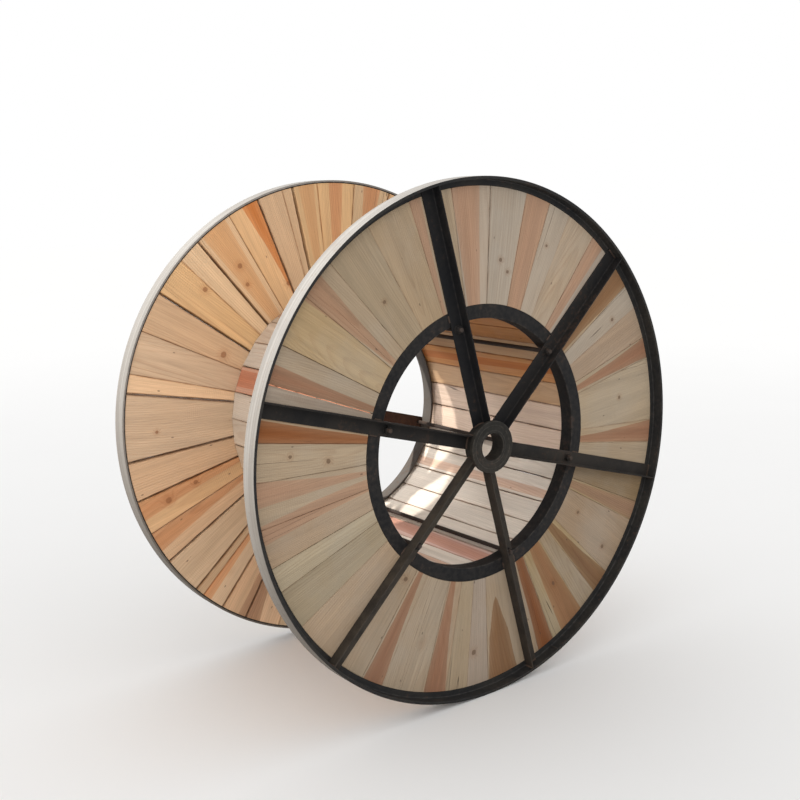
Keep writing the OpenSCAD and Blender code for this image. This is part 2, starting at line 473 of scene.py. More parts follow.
# The planks of the flange in front. For each sixth: the boards' plain colours in order, then the
# heartwood as (start, end) at the rim and (start, end) at the ring, in degrees from the sixth's
# first spoke, its colour and, if it stops short of the ring, the share of the radius where it ends.
nearPlanks = {
    "plain": [
        ["grey", "pale", "grey", "tan", "grey", "grey", "pale"],
        ["rosy", "tan", "dust", "pale", "straw", "pale", "grey"],
        ["tan", "pale", "pale", "tan", "olive", "dust", "tan"],
        ["tan", "pale", "pale", "tan", "pale", "grey", "tan"],
        ["tan", "straw", "tan", "straw", "tan", "straw", "brown"],
        ["grey", "tan", "pale", "tan", "pale", "pale", "rosy"],
    ],
    "heart": [
        [(3, 7.6, 4.2, 7.6, "salmon"), (24, 31.6, 24, 31.6, "salmon"), (45.6, 53.6, 46.2, 52.5, "salmon")],
        [(2, 5.1, 3.4, 5.1, "salmon"), (31, 37.2, 33, 35.4, "clay"), (51, 55.2, 52.2, 54.4, "red")],
        [(2, 6.7, 3.6, 6.6, "deep"), (14.2, 19.6, 17, 18.4, "salmon"), (23.2, 27.4, 20.2, 24.6, "salmon")],
        [(8.8, 14.6, 9.5, 12, "red"), (27, 33.4, 27.6, 30.2, "red"), (46.8, 55.8, 48.5, 53, "umber", 0.63)],
        [(3.2, 8.4, 3.8, 8.2, "deep"), (11.7, 19.6, 12.6, 18.8, "orange"), (25.5, 31.6, 26, 29.4, "umber"),
         (46.6, 51.6, 47.2, 50.6, "clay")],
        [(7.6, 13.4, 8, 10.6, "red"), (30, 35.4, 31.3, 33.6, "red"), (50.6, 56.8, 51.6, 55.6, "umber")],
    ],
    # larger knots: sixth, degrees from its spoke, share of the radius, size
    "knots": [(1, 37.5, 0.70, 0.007), (1, 34.0, 0.66, 0.006), (1, 21, 0.81, 0.005), (3, 11.5, 0.69, 0.008),
              (3, 9.6, 0.84, 0.006), (4, 5.5, 0.585, 0.008), (4, 41.7, 0.83, 0.010), (5, 36, 0.87, 0.008),
              (5, 40, 0.64, 0.006), (6, 22, 0.77, 0.007), (6, 46, 0.83, 0.007), (2, 23, 0.72, 0.006)],
    "arris": (0.0004, 0.0008),                          # how far the outer and inner edges are eased
    "tightGap": (0.0001, 0.0002, 0.0004, 0.0009),       # half gaps of the closed joints, one by chance
    "openFrom": 0.0024, "openShare": 0.65,              # half gaps from here up stay open, by this share
    # joints open right through: sixth, degrees, share of the radius from and to, half their width
    "slits": [(1, 42.5, 0.84, 0.95, 0.0016), (2, 55, 0.50, 0.98, 0.0012)],
    "shade": (1.06, 1.02, 1.06, 0.96, 0.84, 1.01),      # how light each sixth is: partly the boards' own tone, partly painted light, the upper sixths lighter and the lower ones darker
    "otherFace": (1.50, 1.38, 1.25),                    # the sheltered face is lighter: partly its kept colour, partly it goes without the painted shade of the front face's tones
    "rowsAlong": 56,
}
farPlanks = {
    "plain": [
        ["fresh", "cream", "golden", "fresh", "golden", "golden", "fresh"],
        ["fresh", "golden", "fresh", "cream", "golden", "fresh", "sand"],
        ["cream", "sand", "fresh", "golden", "fresh", "sand", "fresh"],
        ["sand", "fresh", "cream", "sand", "fresh", "cream", "sand"],
        ["fresh", "sand", "cream", "fresh", "sand", "golden", "fresh"],
        ["golden", "fresh", "cream", "fresh", "golden", "cream", "fresh"],
    ],
    "heart": [
        [(3, 7, 3.5, 6, "coral"), (31, 36, 32, 34, "coral"), (42.6, 46.6, 43.5, 46, "coral"),
         (51, 55.4, 52, 54, "ochre")],
        [(7.1, 11.4, 7.1, 7.6, "rust"), (17, 24, 18, 23, "ochre")],
        [(30.2, 34.8, 30.2, 32.6, "coral"), (38.6, 43.6, 38.7, 41.0, "coral")],
        [(-2, 2.4, -0.6, 1.6, "coral"), (11.5, 18, 12, 15, "clay"), (36, 42, 37, 40, "coral")],
        [(10.2, 15, 10.4, 13, "coral"), (37.4, 42, 38, 40, "rust")],
        [(17.4, 22, 17.6, 20, "coral"), (45.4, 51, 46, 49, "coral")],
    ],
    "knots": [(2, 20.5, 0.80, 0.010), (2, 22, 0.72, 0.008), (2, 32.8, 0.84, 0.010), (2, 8, 0.62, 0.008),
              (3, 14, 0.86, 0.006), (3, 33, 0.87, 0.012), (3, 31.8, 0.74, 0.009), (2, 47, 0.63, 0.012)],
    "arris": (0.0008, 0.0008), "tightGap": (0.0003, 0.0006, 0.0012), "openFrom": 0.0019, "openShare": 2.1,
    "slits": [],
    # how light each sixth is: partly the boards' own tone, partly painted light, the sixths on the left and
    # at the bottom made lighter
    "shade": (1.00, 1.13, 1.14, 1.32, 1.08, 1.00),
    "otherFace": (0.60, 0.66, 0.76),                    # the outer face is darker and cooler: partly weathered, partly without the painted warm light of the inner face's tones
    "rowsAlong": 56,
}


def bandsAt(bands, offset, radius, inner, outer):
    # how far each point is inside the nearest heartwood wedge, and that wedge's colour
    best = np.full(radius.shape, -1.0)
    colour = np.tile(np.array(timber["red"]), (len(radius), 1))
    share = (radius - inner) / (outer - inner)
    for band in bands:
        low = band[2] + (band[0] - band[2]) * share
        high = band[3] + (band[1] - band[3]) * share
        depth = np.minimum(offset - low, high - offset) * math.radians(1) * radius
        if len(band) > 5:       # ends short of the ring, in an arch
            arch = np.sqrt(np.clip((radius / rimRadius - band[5]) / 0.16, 0, 1))
            middle, half = (low + high) / 2, (high - low) / 2 * arch
            depth = (half - np.abs(offset - middle)) * math.radians(1) * radius
        closer = depth > best
        best = np.where(closer, depth, best)
        colour[closer] = timber[band[4]]
    return best, colour


def makePlanks(name, side, look, material, seed):
    # side is -1 for the flange in front and 1 for the other
    lipInner = rimRadius - hoop["bar"] - hoop["lip"]
    first, last = plank["step"]
    for k in range(1, 7):
        node = f"{name}_planks_{k}"
        skin = Skin()
        rng = spread(seed + k)
        start = firstSpoke + (k - 1) * sixth
        for i, board in enumerate(boardsOf(node)):
            inner, outer = board["inner"], board["outer"]
            along = np.linspace(inner, outer, look["rowsAlong"])
            steps = np.array([ringOuter + first, ringOuter + last, lipInner - last, lipInner - first])
            clearOf = np.abs(along[:, None] - steps[None, :]).min(1) > 0.003
            along = np.sort(np.concatenate([along[clearOf], steps]))
            middle = (board["low"][0] + board["high"][0]) / 2
            shown, hidden, darkening = [], [], []      # the edges on the face that shows and at the back
            for (angle, half), sign in ((board["low"], -1), (board["high"], 1)):
                gap = abs(half)
                line = along * (angle - middle) + half
                wide = gap > look["openFrom"]
                darkening.append(0.003 if wide else 0.0)
                close = gap * (1 - look["openShare"]) if wide else gap - rng.choice(look["tightGap"])
                ragged = 2.5 if wide else 1.0
                clear = np.zeros_like(along)
                for sector, degrees, low, high, opening in look["slits"]:
                    if k == sector and abs(math.degrees(angle - start) % 360 - degrees) < 0.8:
                        share, close = along / rimRadius, gap - opening
                        clear = easeStep(low, low + 0.02, share) * easeStep(high, high - 0.02, share)
                        chips = wander(spread(17), along, 0.07, 1)      # they block it here and there
                        clear *= easeStep(-0.9, -0.3, chips)
                shownLine = line + sign * close + wander(rng, along, 0.45, 0.0003)
                shown.append(shownLine + ragged * wander(rng, along, 0.11, 0.0002))
                hidden.append(clear * shown[-1] + (1 - clear) * (line + sign * (gap - 0.0001)))
            faceEdges = (shown, hidden) if side < 0 else (hidden, shown)
            covered = np.minimum(along - ringOuter, lipInner - along) < (first + last) / 2
            level = plankThick + rng.uniform(-0.0012, 0.0)
            outerFace = level + wander(rng, along, 0.9, 0.0004)
            outerFace[covered] = plankThick - plank["rebate"]
            innerFace = rng.uniform(0.0, 0.0014) + wander(rng, along, 0.8, 0.0004) + 0.0004
            cup = rng.uniform(0.0002, 0.0012)
            points, faces, sides = sawnBoard(rng, along, faceEdges, outerFace, innerFace,
                                             arris=look["arris"], cup=cup)
            x, radius, z = points.T
            front = side * z < side * plankThick / 2      # the face that shows from the front
            edge = np.minimum(sides[0] - darkening[0] * front, sides[1] - darkening[1] * front)
            angle = middle + x / radius
            offset = np.degrees((angle - start + math.pi) % (2 * math.pi) - math.pi)
            heart, warm = bandsAt(look["heart"][k - 1], offset, radius, ringOuter, rimRadius - 0.03)
            # painted light in part: each sixth's shade factor lightens or darkens its tones
            tone = np.array(timber[look["plain"][k - 1][i]]) * look["shade"][k - 1]
            tone *= rng.uniform(0.95, 1.05) * (1 + rng.uniform(-0.02, 0.02, 3))
            # painted light: the front faces keep their tones with it, the other faces are scaled toward the
            # boards' own colour
            paintedLightAndAge = np.where(front[:, None], 1.0, np.array(look["otherFace"]))
            placed = around(angle, radius, side * (halfWidth - hoopWidth + z))
            skin.add(placed, faces, flip=side < 0,
                     grain=points + rng.uniform(0, 40, 3), ring=growth(rng, points),
                     heart=heart, warm=warm * look["shade"][k - 1] * paintedLightAndAge, pale=tone * paintedLightAndAge, edge=edge)
        skin.make(f"{name}Planks{k}", node, material)
    print("planks made:", name)


# Barrel: flat staves that lie on the two rings.
barrel = {
    "plain": [      # five staves in each sixth, in order
        ["amber", "amber", "honey", "blush", "blush"],
        ["blush", "bleached", "blush", "blush", "blush"],
        ["blush", "bleached", "blush", "wine", "blush"],
        ["bleached", "blush", "bleached", "bleached", "wine"],
        ["bleached", "bleached", "bleached", "bleached", "bleached"],
        ["blush", "blush", "honey", "amber", "honey"],
    ],
    # the tones of their outer faces, darker than the inner ones: partly weathering, partly painted shade
    "outside": [(0.350, 0.276, 0.212), (0.365, 0.272, 0.188), (0.312, 0.244, 0.184), (0.350, 0.300, 0.250)],
    "reddish": {(2, 4): (0.330, 0.150, 0.090), (5, 1): (0.270, 0.165, 0.115)},     # by sixth and stave
    "thick": 0.0374, "halfGap": 0.0025, "rowsAlong": 44,
    "swell": 0.0008,        # how much each side has closed the gap
}


def makeStaves(material):
    for k in range(1, 7):
        skin = Skin()
        rng = spread(300 + k)
        start = firstSpoke + (k - 1) * sixth
        turn = sixth / 5
        half = staveSeat * math.tan(turn / 2) - barrel["halfGap"]
        for i in range(5):
            angle = start + (i + 0.5) * turn
            along = np.linspace(-traverse / 2 + 0.0005, traverse / 2 - 0.0005, barrel["rowsAlong"])
            thick = barrel["thick"] - rng.uniform(0.0, 0.0015)
            shift = rng.uniform(-0.0012, 0.0012)
            left = -half - barrel["swell"] + shift + wander(rng, along, 0.5, 0.0009)
            right = half + barrel["swell"] + shift + wander(rng, along, 0.5, 0.0009)
            outer = thick + wander(rng, along, 0.9, 0.0003) - 0.0004
            inner = 0.0006 + np.abs(wander(rng, along, 0.9, 0.0006))
            cup = rng.uniform(0, 0.001)
            points, faces, sides = sawnBoard(rng, along, ((left, right), (left, right)), outer, inner,
                                             columns=8, cup=cup)
            x, y, z = points.T
            x = x * (1 + z * math.tan(turn / 2) / half)      # the edges point to the axle line
            out = np.array([math.cos(angle), 0, math.sin(angle)])
            aside = np.array([-math.sin(angle), 0, math.cos(angle)])
            placed = np.outer(staveSeat + z, out) + np.outer(x, aside) + np.outer(y, (0, 1, 0))
            tone = np.array(timber[barrel["plain"][k - 1][i]]) * rng.uniform(0.94, 1.06)
            if rng.uniform() < 0.25:
                halfBand = 0.035 * rng.uniform(0.3, 1)
                line = rng.uniform(-0.03, 0.03) + rng.uniform(-0.03, 0.03) * y
                heart = halfBand - np.abs(x - line)
            else:
                heart = np.full(len(x), -1.0)
            # painted shade in part: the outer faces take the darker tones, the inner faces keep the lighter
            # ones
            outside = barrel["reddish"].get((k, i), barrel["outside"][(3 * i + k) % 4])
            outside = np.array(outside) * rng.uniform(0.86, 1.12) * 0.85 + tone * 0.15
            tone = np.where((z > thick / 2)[:, None], outside, tone)
            warm = tone * np.array([0.84, 0.62, 0.52])
            skin.add(placed + (0, 0, axleHeight), faces, flip=True,
                     grain=points + rng.uniform(0, 40, 3), ring=growth(rng, points),
                     heart=heart, warm=warm, pale=tone, edge=np.minimum(*sides))
        skin.make(f"barrelStaves{k}", f"staves_{k}", material)
    print("staves made")


def paintMaterial(name, dust=0.25, rust=0.25, tint=(0.0065, 0.0070, 0.0085)):
    n = Nodes(name)
    place = n.place()
    broad = n.cloud(place, 5.5, 5, 0.62)
    fine = n.cloud(place, 60, 4, 0.6)
    grit = n.cloud(place, 420, 2, 0.5)
    colour = n.blend(n.part(n.step(broad, 0.38, 0.68), dust), tint, (0.045, 0.036, 0.028))
    bare = n.part(n.step(n.total(fine, n.around(broad, 0.9)), 0.60, 0.72), rust)
    colour = n.blend(bare, colour, n.blend(grit, (0.135, 0.058, 0.030), (0.075, 0.040, 0.026)))
    splash = n.step(n.cloud(place, 16, 4, 0.65), 0.30, 0.62, 0.45, 1.0)
    colour = n.blend(n.part(n.value("dusty"), splash), colour, (0.062, 0.050, 0.038))
    worn = n.part(n.value("wear"), n.step(fine, 0.36, 0.62, 0.25, 0.95))
    colour = n.blend(n.part(worn, 0.30), colour, (0.14, 0.125, 0.110))
    scale = n.blend(fine, (0.045, 0.034, 0.028), (0.11, 0.07, 0.05))
    colour = n.blend(n.part(n.value("bead"), 0.7), colour, scale)
    rough = n.step(fine, 0.25, 0.75, 0.52, 0.74)
    height = n.total(n.part(fine, 0.7), n.part(grit, 0.35), n.part(bare, 0.6))
    return n.finish(colour, rough, n.relief(height, 0.0007), shine=0.10)


def hoopMaterial(name):
    n = Nodes(name)
    place, sweep = n.place(), n.triple("sweep")     # sweep: along the bar, across it
    broad = n.cloud(place, 4.5, 5, 0.62)
    fine = n.cloud(place, 70, 4, 0.6)
    grit = n.cloud(place, 420, 2, 0.5)
    rolled = n.cloud(n.times(sweep, (1.2, 95, 1)), 1, 3, 0.6)
    dust = n.part(n.step(broad, 0.35, 0.7), 0.32)
    black = n.blend(dust, (0.0065, 0.0070, 0.0082), (0.046, 0.039, 0.028))
    black = n.blend(n.part(n.step(fine, 0.60, 0.72), 0.22), black, (0.12, 0.055, 0.030))
    pale = n.blend(n.step(rolled, 0.32, 0.70), (0.165, 0.158, 0.151), (0.245, 0.237, 0.228))
    pale = n.blend(n.part(n.step(broad, 0.42, 0.72), 0.45), pale, (0.165, 0.150, 0.136))
    pale = n.blend(n.part(n.step(fine, 0.60, 0.68), 0.35), pale, (0.180, 0.135, 0.100))
    scuff = n.part(n.step(n.cloud(n.times(sweep, (5, 60, 1)), 1, 4, 0.65), 0.62, 0.72), 0.5)
    pale = n.blend(scuff, pale, (0.120, 0.108, 0.097))
    # darker toward the floor: painted shade on the lower part of the hoop
    darkening = n.step(n.vector("DOT_PRODUCT", place, (0, 0, 1)), 0.35, 1.45, 0.62, 0.0)
    pale = n.blend(darkening, pale, (0.080, 0.064, 0.046))
    spill = n.total(n.value("outside"), n.around(fine, 0.5))
    colour = n.blend(n.step(spill, 0.35, 0.65), black, pale)
    worn = n.part(n.value("wear"), n.step(fine, 0.36, 0.62, 0.2, 0.8))
    colour = n.blend(n.part(worn, 0.16), colour, (0.22, 0.205, 0.190))
    colour = n.blend(n.part(n.value("bead"), 0.6), colour, (0.050, 0.042, 0.036))
    height = n.total(n.part(fine, 0.7), n.part(rolled, 0.7), n.part(grit, 0.3))
    return n.finish(colour, n.step(fine, 0.25, 0.75, 0.58, 0.80), n.relief(height, 0.0008), shine=0.2)


def rounded(outline, radius=0.0012, steps=3):
    # rounds every corner of a closed outline; returns points and a 0..1 mark on the rounded ones
    count = len(outline)
    points, marks = [], []
    for i in range(count):
        p = np.array(outline[i][:2], float)
        a = np.array(outline[i - 1][:2], float) - p
        b = np.array(outline[(i + 1) % count][:2], float) - p
        r = outline[i][2] if len(outline[i]) > 2 else radius
        r = min(r, 0.45 * np.linalg.norm(a), 0.45 * np.linalg.norm(b))
        a, b = a / np.linalg.norm(a), b / np.linalg.norm(b)
        for t in np.linspace(0, 1, steps + 1):
            points.append(p + r * ((1 - t) ** 2 * a + t ** 2 * b))
            marks.append(1.0 if 0 < t < 1 else 0.35)
    return np.array(points), np.array(marks)


def revolved(skin, outline, side, count=240, radius=0.0012, **more):
    # turns an outline of (radius, depth outwards from the hoop's edge) round the axle line
    points, marks = rounded(outline, radius)
    angle = np.linspace(0, 2 * math.pi, count, endpoint=False)
    r = np.broadcast_to(points[None, :, 0], (count, len(points)))
    s = np.broadcast_to(points[None, :, 1], (count, len(points)))
    a = np.broadcast_to(angle[:, None], r.shape)
    placed = around(a, r, side * (halfWidth + s))
    lap = np.concatenate([[0], np.cumsum(np.linalg.norm(np.diff(points, axis=0), axis=1))])
    sweep = np.stack([a * rimRadius, np.broadcast_to(lap[None, :], r.shape), r], -1).reshape(-1, 3)
    faces = wrapped(count, len(points), closed=True)
    area = 0.5 * np.sum(points[:, 0] * np.roll(points[:, 1], -1) - np.roll(points[:, 0], -1) * points[:, 1])
    flip = (area > 0) != (side > 0)
    values = dict(wear=np.tile(marks, count), sweep=sweep, bead=0.0)
    for key, value in more.items():
        values[key] = np.tile(value(points[:, 0], points[:, 1]), count)
    skin.add(placed, faces, flip=flip, **values)


weld = {"sides": 8, "space": 0.0022, "ripple": 0.0050}


def weldBead(skin, path, size, rng, **values):
    # a run of weld: a lumpy half-buried rope with the ripples of its making
    path = np.asarray(path, float)
    length = np.concatenate([[0], np.cumsum(np.linalg.norm(np.diff(path, axis=0), axis=1))])
    count = max(6, int(length[-1] / weld["space"]))
    at = np.linspace(0, length[-1], count)
    line = np.stack([np.interp(at, length, path[:, i]) for i in range(3)], -1)
    ahead = np.gradient(line, axis=0)
    ahead /= np.linalg.norm(ahead, axis=1)[:, None]
    lift = np.array([0.0, 1.0, 0.0])
    if abs(ahead[0] @ lift) > 0.9:      # runs the drum's way, so it takes its bearing from the axle line
        lift = np.array([line[0, 0], 0.0, line[0, 2] - axleHeight])
    sideways = np.cross(ahead, lift)
    sideways /= np.linalg.norm(sideways, axis=1)[:, None] + 1e-9
    up = np.cross(sideways, ahead)
    ring = np.linspace(0, 2 * math.pi, weld["sides"], endpoint=False)
    ripples = np.sin(at / weld["ripple"] * 2 * math.pi)
    girth = size * (1 + 0.13 * ripples + 0.10 * rng.standard_normal(count))
    girth *= np.clip(np.minimum(at, at[::-1]) / (size * 1.4) + 0.35, 0, 1) ** 0.6
    across = np.multiply.outer(np.cos(ring), sideways) + np.multiply.outer(np.sin(ring), up)
    points = (line + girth[:, None] * across).transpose(1, 0, 2)
    skin.add(points, capped(count, weld["sides"]), flip=True, bead=1.0, wear=0.3, **values)


# Hoops: a flat bar rolled on edge, with a lip inside that holds the planks' ends.
hoop = {
    "bar": 0.010, "lip": 0.020, "lipThick": 0.005, "round": 0.0013,
    "seam": 0.0032, "seamAngle": math.radians(-68),     # the weld where the bar's ends meet
}


def makeHoop(name, side, material):
    inner, rim = rimRadius - hoop["bar"], rimRadius - 0.0003
    outline = [
        (inner, -hoopWidth), (rim, -hoopWidth), (rim, 0.0), (inner, 0.0),
        (inner, -recess, 0.004), (inner - hoop["lip"], -recess, 0.0008),
        (inner - hoop["lip"], -recess - hoop["lipThick"], 0.0008),
        (inner, -recess - hoop["lipThick"], 0.0008),
    ]
    skin = Skin()

    def palePart(r, s):
        # the dusty outside, which spills over the edge that faces the middle of the drum
        outside = np.clip((r - rim + hoop["round"]) / hoop["round"] * 1.1, 0, 1)
        inward = np.where(r > inner + hoop["bar"] / 2, 1.0, 0.3) * (s < -hoopWidth + 0.0004)
        return np.maximum(outside, inward)

    revolved(skin, outline, side, count=300, radius=hoop["round"], outside=palePart)
    rng = spread(40 + side)
    depth = np.linspace(-recess + 0.004, -0.002, 9)
    seam = around(np.full(9, hoop["seamAngle"]), np.full(9, inner - 0.0005), side * (halfWidth + depth))
    weldBead(skin, seam, hoop["seam"], rng, outside=0.0, sweep=(0, 0, 0))
    skin.make(f"{name}HoopSteel", f"{name}_hoop", material, smooth=50)


# Rings: rolled angle under the spokes; one leg covers the planks' ends, the other carries the staves.
ringBar = {"cover": 0.040, "thick": 0.007, "round": 0.0012}
staveSeat = ringOuter - ringBar["cover"]


def makeRing(name, side, material):
    thick = ringBar["thick"]
    bore = staveSeat - thick
    outline = [
        (bore, -recess, 0.004), (bore, -recess - ringLeg, 0.0015),
        (staveSeat, -recess - ringLeg, 0.0015), (staveSeat, -recess - thick, 0.003),
        (ringOuter, -recess - thick, 0.001), (ringOuter, -recess, 0.0012),
    ]
    skin = Skin()
    revolved(skin, outline, side, count=240, radius=ringBar["round"])
    skin.make(f"{name}RingSteel", f"{name}_ring", material, smooth=50)


# Hubs: a bored boss with a thick collar in front of the spokes.
hub = {
    "bore": 0.0475, "boss": 0.075, "collar": 0.090, "stand": 0.015,
    "grooveIn": 0.0565, "grooveOut": 0.0760, "groove": 0.0015,       # turned into the collar's face
}


def makeHub(name, side, material):
    bossLow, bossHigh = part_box(f"{name}_hub")
    depth = bossHigh.y - bossLow.y - hub["stand"]
    face = hub["stand"] - 0.0004
    floor = face - hub["groove"]
    outline = [
        (hub["bore"], -depth), (hub["boss"], -depth), (hub["boss"], -0.0002, 0.003),
        (hub["collar"], -0.0002), (hub["collar"], face, 0.0028),
        (hub["grooveOut"], face, 0.0008), (hub["grooveOut"] - 0.0015, floor, 0.0008),
        (hub["grooveIn"] + 0.0015, floor, 0.0008), (hub["grooveIn"], face, 0.0008),
        (hub["bore"], face, 0.0022),
    ]
    skin = Skin()
    revolved(skin, outline, side, count=120, radius=0.0014)
    skin.make(f"{name}HubSteel", f"{name}_hub", material, smooth=50)


# Spokes: angle iron, its flat leg on the planks and the other standing level with the hoop's edge.
spoke = {
    "leg": 0.050, "thick": 0.004, "toe": 0.0014, "root": 0.0045, "weld": 0.0034,
    "dusty": (0.05, 0.0, 0.15, 0.75, 0.50, 0.30),       # splashed from the ground: the lower ones most
}


def makeSpoke(name, side, k, material):
    half, thick = spoke["leg"] / 2, spoke["thick"]
    outline = [
        (-half, -recess, 0.0010), (half, -recess, 0.0006),
        (half, -recess + thick, spoke["toe"] * 1.4), (-half + thick, -recess + thick, spoke["root"]),
        (-half + thick, 0.0, spoke["toe"] * 1.2), (-half, 0.0, 0.0008),
    ]
    points, marks = rounded(outline, 0.001, 4)
    skin = Skin()
    rng = spread(500 + 10 * k + side)
    angle = firstSpoke + (k - 1) * sixth
    t, s = points.T
    begin = np.sqrt(hub["boss"] ** 2 - t ** 2) - 0.001
    end = np.sqrt((rimRadius - hoop["bar"]) ** 2 - t ** 2) + 0.0002
    rows = 46
    share = np.linspace(0, 1, rows)[:, None]
    radial = begin[None, :] * (1 - share) + end[None, :] * share
    sway = wander(rng, radial, 0.9, 0.0004)
    out = np.array([math.cos(angle), 0, math.sin(angle)])
    aside = np.array([-math.sin(angle), 0, math.cos(angle)])
    along = np.array([0, 1.0, 0])
    base = np.array([0, 0, axleHeight])

    def put(r, across, depth):
        r, across, depth = np.broadcast_arrays(r, across, depth)
        level = side * (halfWidth + depth)
        return r[..., None] * out + across[..., None] * aside + level[..., None] * along + base

    placed = put(radial, t[None, :] + sway, np.broadcast_to(s[None, :], radial.shape))
    skin.add(placed, capped(rows, len(points)), flip=side > 0,
             wear=np.tile(marks, rows) * 0.3, bead=0.0, dusty=spoke["dusty"][k - 1])
    # welds: round the hub, to the hoop, and stitches where the spoke crosses the ring
    size = spoke["weld"]
    top = -recess + thick + 0.0004
    bow = np.linspace(-half + 0.002, half - 0.001, 7)
    rise = np.linspace(-recess + 0.003, -0.004, 7)
    hubEnd = math.sqrt(hub["boss"] ** 2 - half ** 2)
    hoopEnd = math.sqrt((rimRadius - hoop["bar"]) ** 2 - half ** 2)
    weldBead(skin, put(np.sqrt(hub["boss"] ** 2 - bow ** 2) + 0.0012, bow, top), size, rng)
    weldBead(skin, put(hubEnd + 0.001, -half - 0.0006, rise), size * 0.9, rng)
    weldBead(skin, put(np.sqrt((rimRadius - hoop["bar"]) ** 2 - bow ** 2) - 0.0014, bow, top), size, rng)
    weldBead(skin, put(hoopEnd - 0.0012, -half - 0.0004, rise), size, rng)
    for across in (-half - 0.0008, half + 0.0008):
        middle = (ringOuter + staveSeat) / 2 + rng.uniform(-0.004, 0.004)
        long = rng.uniform(0.011, 0.017)
        reach = np.linspace(middle - long, middle + long, 7)
        weldBead(skin, put(reach, across, -recess + 0.001), size * 0.95, rng)
    skin.make(f"{name}Spoke{k}Steel", f"{name}_spoke_{k}", material, smooth=50)


# Tie rods with threaded ends, and a washer and nut on each.
tie = {
    "pitch": 0.002, "thread": 0.0007, "threaded": 0.036, "endChamfer": 0.0018, "sides": 20,
    "nutFlats": 0.024, "nutHigh": 0.0128, "nutSides": 48, "chamfer": 0.0014,
    "washer": 0.0148, "washerThick": 0.003, "washerSides": 32,
}


def makeRods(material):
    for k in range(1, 7):
        low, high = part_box(f"tie_rod_{k}")
        centre = (low + high) / 2
        end = high.y - 0.0003
        skin = Skin()
        plain = end - tie["threaded"]       # the thread starts here
        straight = np.linspace(-plain, plain, 14)
        fine = np.arange(plain, end - 0.0015, tie["pitch"] / 6)
        y = np.unique(np.concatenate([-fine[::-1], straight, fine]).round(6))
        a = np.linspace(0, 2 * math.pi, tie["sides"], endpoint=False)
        level, turn = np.meshgrid(y, a, indexing="ij")
        phase = (level / tie["pitch"] - turn / (2 * math.pi)) % 1
        threaded = easeStep(plain - 0.001, plain + 0.001, np.abs(level))
        r = rodRadius - 0.0001 - tie["thread"] * (1 - np.abs(2 * phase - 1)) * threaded
        rings = np.stack([centre.x + r * np.cos(turn), level, centre.z + r * np.sin(turn)], -1)
        r = rodRadius - tie["endChamfer"]
        x, z = centre.x + r * np.cos(a), centre.z + r * np.sin(a)
        caps = [np.stack([x, np.full(len(a), s * end), z], -1) for s in (-1, 1)]
        rings = np.concatenate([caps[0][None], rings, caps[1][None]])
        skin.add(rings, capped(len(rings), len(a)), flip=True, wear=0.2, bead=0.0)
        skin.make(f"tieRod{k}Steel", f"tie_rod_{k}", material, smooth=40)


def lathe(centre, side, radius, depth, turn=0.0):
    # a small closed piece round its own axis: radius and depth as rows of points by columns of angles
    count = radius.shape[1]
    a = np.linspace(0, 2 * math.pi, count, endpoint=False)[None, :] + turn
    y = np.broadcast_to(side * (halfWidth + depth)[:, None], radius.shape)
    points = np.stack([centre[0] + radius * np.cos(a), y, centre[2] + radius * np.sin(a)], -1)
    return points, wrapped(len(radius), count, closed=True)


def makeNuts(name, side, material):
    skin = Skin()
    seat = -recess + spoke["thick"]
    base, high = seat + tie["washerThick"], tie["nutHigh"]
    flat = tie["nutFlats"] / 2
    corner = flat / math.cos(math.radians(30))
    bore, hole = rodRadius + 0.0002, rodRadius + 0.0012
    for k in range(6):
        rng = spread(900 + 10 * k + side)
        angle = firstRod + k * sixth
        centre = np.array([rodPlace * math.cos(angle), 0, axleHeight + rodPlace * math.sin(angle)])
        # washer
        outline = [(hole, seat), (tie["washer"], seat), (tie["washer"], base), (hole, base)]
        points, marks = rounded(outline, 0.0006)
        radius = np.repeat(points[:, 0][:, None], tie["washerSides"], 1)
        placed, faces = lathe(centre, side, radius, points[:, 1])
        skin.add(placed, faces, flip=side > 0, wear=np.repeat(marks, tie["washerSides"]), bead=0.0)
        # nut: six flats, chamfered at both ends, and its bore
        a = np.linspace(0, 2 * math.pi, tie["nutSides"], endpoint=False)
        hexagon = flat / np.cos((a + math.pi / 6) % (math.pi / 3) - math.pi / 6)
        face, flats = np.minimum(hexagon, flat - 0.0002), np.minimum(hexagon, corner - 0.0003)
        chamfer = tie["chamfer"]
        inner, mouth = np.full(len(a), bore), np.full(len(a), bore + chamfer)
        rows = [
            (face, 0.0), (flats, 0.0012), (flats, high - 0.0012), (face, high),
            (mouth, high), (inner, high - chamfer), (inner, chamfer), (mouth, 0.0),
        ]
        radius = np.stack([row[0] for row in rows])
        depth = base + np.array([row[1] for row in rows])
        placed, faces = lathe(centre, side, radius, depth, turn=rng.uniform(0, 1))
        skin.add(placed, faces, flip=side > 0, wear=0.25, bead=0.0)
    skin.make(f"{name}NutsSteel", f"{name}_nuts", material, smooth=30)


def knotPlaces(look):
    placed = []
    for k, degrees, share, size in look["knots"]:
        angle = firstSpoke + (k - 1) * sixth + math.radians(degrees)
        r = share * rimRadius
        placed.append((r * math.cos(angle), axleHeight + r * math.sin(angle), size))
    return placed


nearWood = woodMaterial("weatheredPlanks", wood["near"], knotPlaces(nearPlanks))
farWood = woodMaterial("freshPlanks", wood["far"], knotPlaces(farPlanks))
barrelWood = woodMaterial("barrelStaves", wood["barrel"])
makePlanks("near", -1, nearPlanks, nearWood, 100)
makePlanks("far", 1, farPlanks, farWood, 200)
makeStaves(barrelWood)

